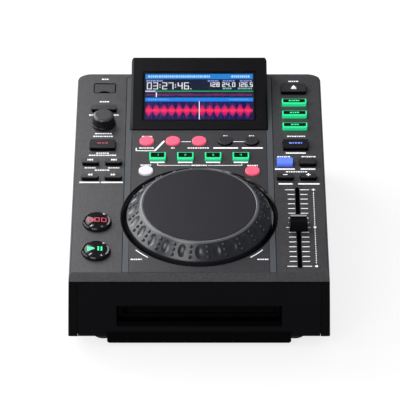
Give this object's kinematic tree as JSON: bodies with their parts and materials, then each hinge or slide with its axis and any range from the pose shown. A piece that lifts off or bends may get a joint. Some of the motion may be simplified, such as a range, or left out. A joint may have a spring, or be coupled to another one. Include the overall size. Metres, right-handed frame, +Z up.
{
  "type": "tabletop disc and media player",
  "caption": "Tabletop player for discs and memory sticks with a sloping deck, jog wheel, colour display, lit keys, pitch fader and front disc slot.",
  "frame": {"origin": "centre of the footprint on the table, under the rubber feet", "axes": "+X to the user's right, +Y to the back, +Z up"},
  "size_m": [0.2196, 0.2918, 0.1158],
  "materials": {
    "case_black": "satin black powder coat",
    "case_grey": "fine-textured dark grey moulding",
    "panel_grey": "fine-textured dark grey panel",
    "strip_grey": "satin blue-grey",
    "front_black": "satin black",
    "pod_black": "satin black",
    "window": "clear, glossy",
    "screen": "lit liquid crystal display",
    "well_black": "glossy black",
    "wheel_grey": "satin grey moulding",
    "touch_grey": "dark anodised, fine turned lines",
    "steel": "bright",
    "key_black": "semi-gloss black",
    "key_red": "dark translucent, red symbol lit",
    "key_play": "dark translucent, green symbol lit",
    "key_green": "translucent, lit green",
    "key_blue": "translucent, lit blue",
    "key_pink": "translucent, lit pink",
    "key_white": "translucent, lit white",
    "knob_black": "satin black",
    "board_green": "green solder resist",
    "zinc": "zinc-plated steel sheet",
    "dark_steel": "grey coated",
    "rubber": "matt",
    "socket_black": "black moulding"
  },
  "bodies": {
    "case": {"base_tray": "case_black", "top_case": "case_grey", "control_panel": "panel_grey", "side_strips": "strip_grey", "front_panel": "front_black", "display_housing": "pod_black", "display_window": "window", "lcd_module": "screen", "jog_well": "well_black", "usb_socket": "zinc", "fader_track": "zinc", "key_boards": "board_green", "main_board": "board_green", "power_board": "board_green", "drive_frame": "zinc", "rear_sockets": "socket_black", "mains_inlet": "socket_black", "rubber_feet": "rubber", "case_screws": "dark_steel"},
    "jog_wheel": {"jog_rim": "wheel_grey", "touch_disc": "touch_grey", "jog_shaft": "steel"},
    "usb_cover": {"usb_cover": "key_black"},
    "encoder_sleeve": {"encoder_sleeve": "steel"},
    "browse_knob": {"browse_knob": "knob_black"},
    "fader_cap": {"fader_cap": "knob_black"},
    "traverse": {"traverse_frame": "dark_steel"},
    "turntable": {"turntable": "knob_black"},
    "lead_screw": {"lead_screw": "steel"},
    "pickup_sled": {"pickup_sled": "knob_black"},
    "load_roller": {"load_roller": "rubber"},
    "power_rocker": {"power_rocker": "key_black"},
    "back_button": {"back_button": "key_black"},
    "reverse_button": {"reverse_button": "key_red"},
    "track_prev": {"track_prev": "key_black"},
    "track_next": {"track_next": "key_black"},
    "search_back": {"search_back": "key_black"},
    "search_forward": {"search_forward": "key_black"},
    "cue_button": {"cue_button": "key_red"},
    "play_button": {"play_button": "key_play"},
    "eject_button": {"eject_button": "key_black"},
    "source_1": {"source_1": "key_green"},
    "source_2": {"source_2": "key_green"},
    "source_3": {"source_3": "key_green"},
    "jog_mode_button": {"jog_mode_button": "key_black"},
    "key_lock_button": {"key_lock_button": "key_blue"},
    "tap_button": {"tap_button": "key_black"},
    "bend_minus": {"bend_minus": "key_black"},
    "bend_plus": {"bend_plus": "key_black"},
    "loop_auto": {"loop_auto": "key_pink"},
    "loop_in": {"loop_in": "key_pink"},
    "loop_out": {"loop_out": "key_pink"},
    "loop_half": {"loop_half": "key_black"},
    "loop_double": {"loop_double": "key_black"},
    "hot_cue_1": {"hot_cue_1": "key_green"},
    "hot_cue_2": {"hot_cue_2": "key_green"},
    "hot_cue_3": {"hot_cue_3": "key_green"},
    "hot_cue_4": {"hot_cue_4": "key_green"},
    "memory_button": {"memory_button": "key_white"},
    "slip_button": {"slip_button": "key_pink"}
  },
  "joints": [
    {"name": "back_button_press", "type": "slide", "parent": "case", "child": "back_button", "axis": [0, 0.1045, -0.9945], "range_m": [0, 0.0008], "stiffness_N_per_m": 300, "springref_m": -0.001},
    {"name": "reverse_button_press", "type": "slide", "parent": "case", "child": "reverse_button", "axis": [0, 0.1045, -0.9945], "range_m": [0, 0.0008], "stiffness_N_per_m": 300, "springref_m": -0.001},
    {"name": "track_prev_press", "type": "slide", "parent": "case", "child": "track_prev", "axis": [0, 0.1045, -0.9945], "range_m": [0, 0.0008], "stiffness_N_per_m": 300, "springref_m": -0.001},
    {"name": "track_next_press", "type": "slide", "parent": "case", "child": "track_next", "axis": [0, 0.1045, -0.9945], "range_m": [0, 0.0008], "stiffness_N_per_m": 300, "springref_m": -0.001},
    {"name": "search_back_press", "type": "slide", "parent": "case", "child": "search_back", "axis": [0, 0.1045, -0.9945], "range_m": [0, 0.0008], "stiffness_N_per_m": 300, "springref_m": -0.001},
    {"name": "search_forward_press", "type": "slide", "parent": "case", "child": "search_forward", "axis": [0, 0.1045, -0.9945], "range_m": [0, 0.0008], "stiffness_N_per_m": 300, "springref_m": -0.001},
    {"name": "cue_button_press", "type": "slide", "parent": "case", "child": "cue_button", "axis": [0, 0.1045, -0.9945], "range_m": [0, 0.0008], "stiffness_N_per_m": 400, "springref_m": -0.001},
    {"name": "play_button_press", "type": "slide", "parent": "case", "child": "play_button", "axis": [0, 0.1045, -0.9945], "range_m": [0, 0.0008], "stiffness_N_per_m": 400, "springref_m": -0.001},
    {"name": "eject_button_press", "type": "slide", "parent": "case", "child": "eject_button", "axis": [0, 0.1045, -0.9945], "range_m": [0, 0.0008], "stiffness_N_per_m": 300, "springref_m": -0.001},
    {"name": "source_1_press", "type": "slide", "parent": "case", "child": "source_1", "axis": [0, 0.1045, -0.9945], "range_m": [0, 0.0008], "stiffness_N_per_m": 300, "springref_m": -0.001},
    {"name": "source_2_press", "type": "slide", "parent": "case", "child": "source_2", "axis": [0, 0.1045, -0.9945], "range_m": [0, 0.0008], "stiffness_N_per_m": 300, "springref_m": -0.001},
    {"name": "source_3_press", "type": "slide", "parent": "case", "child": "source_3", "axis": [0, 0.1045, -0.9945], "range_m": [0, 0.0008], "stiffness_N_per_m": 300, "springref_m": -0.001},
    {"name": "jog_mode_button_press", "type": "slide", "parent": "case", "child": "jog_mode_button", "axis": [0, 0.1045, -0.9945], "range_m": [0, 0.0008], "stiffness_N_per_m": 300, "springref_m": -0.001},
    {"name": "key_lock_button_press", "type": "slide", "parent": "case", "child": "key_lock_button", "axis": [0, 0.1045, -0.9945], "range_m": [0, 0.0008], "stiffness_N_per_m": 300, "springref_m": -0.001},
    {"name": "tap_button_press", "type": "slide", "parent": "case", "child": "tap_button", "axis": [0, 0.1045, -0.9945], "range_m": [0, 0.0008], "stiffness_N_per_m": 300, "springref_m": -0.001},
    {"name": "bend_minus_press", "type": "slide", "parent": "case", "child": "bend_minus", "axis": [0, 0.1045, -0.9945], "range_m": [0, 0.0008], "stiffness_N_per_m": 300, "springref_m": -0.001},
    {"name": "bend_plus_press", "type": "slide", "parent": "case", "child": "bend_plus", "axis": [0, 0.1045, -0.9945], "range_m": [0, 0.0008], "stiffness_N_per_m": 300, "springref_m": -0.001},
    {"name": "loop_auto_press", "type": "slide", "parent": "case", "child": "loop_auto", "axis": [0, 0.1045, -0.9945], "range_m": [0, 0.0008], "stiffness_N_per_m": 300, "springref_m": -0.001},
    {"name": "loop_in_press", "type": "slide", "parent": "case", "child": "loop_in", "axis": [0, 0.1045, -0.9945], "range_m": [0, 0.0008], "stiffness_N_per_m": 300, "springref_m": -0.001},
    {"name": "loop_out_press", "type": "slide", "parent": "case", "child": "loop_out", "axis": [0, 0.1045, -0.9945], "range_m": [0, 0.0008], "stiffness_N_per_m": 300, "springref_m": -0.001},
    {"name": "loop_half_press", "type": "slide", "parent": "case", "child": "loop_half", "axis": [0, 0.1045, -0.9945], "range_m": [0, 0.0008], "stiffness_N_per_m": 300, "springref_m": -0.001},
    {"name": "loop_double_press", "type": "slide", "parent": "case", "child": "loop_double", "axis": [0, 0.1045, -0.9945], "range_m": [0, 0.0008], "stiffness_N_per_m": 300, "springref_m": -0.001},
    {"name": "hot_cue_1_press", "type": "slide", "parent": "case", "child": "hot_cue_1", "axis": [0, 0.1045, -0.9945], "range_m": [0, 0.0008], "stiffness_N_per_m": 300, "springref_m": -0.001},
    {"name": "hot_cue_2_press", "type": "slide", "parent": "case", "child": "hot_cue_2", "axis": [0, 0.1045, -0.9945], "range_m": [0, 0.0008], "stiffness_N_per_m": 300, "springref_m": -0.001},
    {"name": "hot_cue_3_press", "type": "slide", "parent": "case", "child": "hot_cue_3", "axis": [0, 0.1045, -0.9945], "range_m": [0, 0.0008], "stiffness_N_per_m": 300, "springref_m": -0.001},
    {"name": "hot_cue_4_press", "type": "slide", "parent": "case", "child": "hot_cue_4", "axis": [0, 0.1045, -0.9945], "range_m": [0, 0.0008], "stiffness_N_per_m": 300, "springref_m": -0.001},
    {"name": "memory_button_press", "type": "slide", "parent": "case", "child": "memory_button", "axis": [0, 0.1045, -0.9945], "range_m": [0, 0.0008], "stiffness_N_per_m": 300, "springref_m": -0.001},
    {"name": "slip_button_press", "type": "slide", "parent": "case", "child": "slip_button", "axis": [0, 0.1045, -0.9945], "range_m": [0, 0.0008], "stiffness_N_per_m": 300, "springref_m": -0.001},
    {"name": "jog_spin", "type": "hinge", "parent": "case", "child": "jog_wheel", "pos_m": [0, -0.06355, 0.07771], "axis": [0, -0.1045, 0.9945], "continuous": true},
    {"name": "browse_spin", "type": "hinge", "parent": "case", "child": "encoder_sleeve", "pos_m": [-0.0837, 0.06435, 0.09116], "axis": [0, -0.1045, 0.9945], "continuous": true},
    {"name": "browse_push", "type": "slide", "parent": "encoder_sleeve", "child": "browse_knob", "axis": [0, 0.1045, -0.9945], "range_m": [0, 0.0008], "stiffness_N_per_m": 400, "springref_m": -0.001},
    {"name": "pitch_fader", "type": "slide", "parent": "case", "child": "fader_cap", "axis": [0, 0.9945, 0.1045], "range_m": [-0.05, 0.05]},
    {"name": "usb_cover_hinge", "type": "hinge", "parent": "case", "child": "usb_cover", "pos_m": [-0.0837, 0.12281, 0.0965], "axis": [-1, 0, 0], "range_deg": [0, 100]},
    {"name": "traverse_lift", "type": "hinge", "parent": "case", "child": "traverse", "pos_m": [0, 0.01506, 0.023], "axis": [-1, 0, 0], "range_deg": [0, 3]},
    {"name": "turntable_spin", "type": "hinge", "parent": "traverse", "child": "turntable", "pos_m": [0, -0.06494, 0.022], "axis": [0, 0, 1], "continuous": true},
    {"name": "lead_screw_spin", "type": "hinge", "parent": "traverse", "child": "lead_screw", "pos_m": [-0.028, -0.06494, 0.0188], "axis": [0, 1, 0], "range_deg": [0, 4325]},
    {"name": "pickup_slide", "type": "slide", "parent": "traverse", "child": "pickup_sled", "axis": [0, 1, 0], "range_m": [0, 0.036]},
    {"name": "load_roller_spin", "type": "hinge", "parent": "case", "child": "load_roller", "pos_m": [0, -0.12694, 0.02515], "axis": [1, 0, 0], "continuous": true},
    {"name": "power_rock", "type": "hinge", "parent": "case", "child": "power_rocker", "pos_m": [0.078, 0.13674, 0.046], "axis": [1, 0, 0], "range_deg": [0, 20]}
  ],
  "couplings": [
    {"joint": "lead_screw_spin", "follows": "pickup_slide", "rad_per_m": 2094.4}
  ]
}
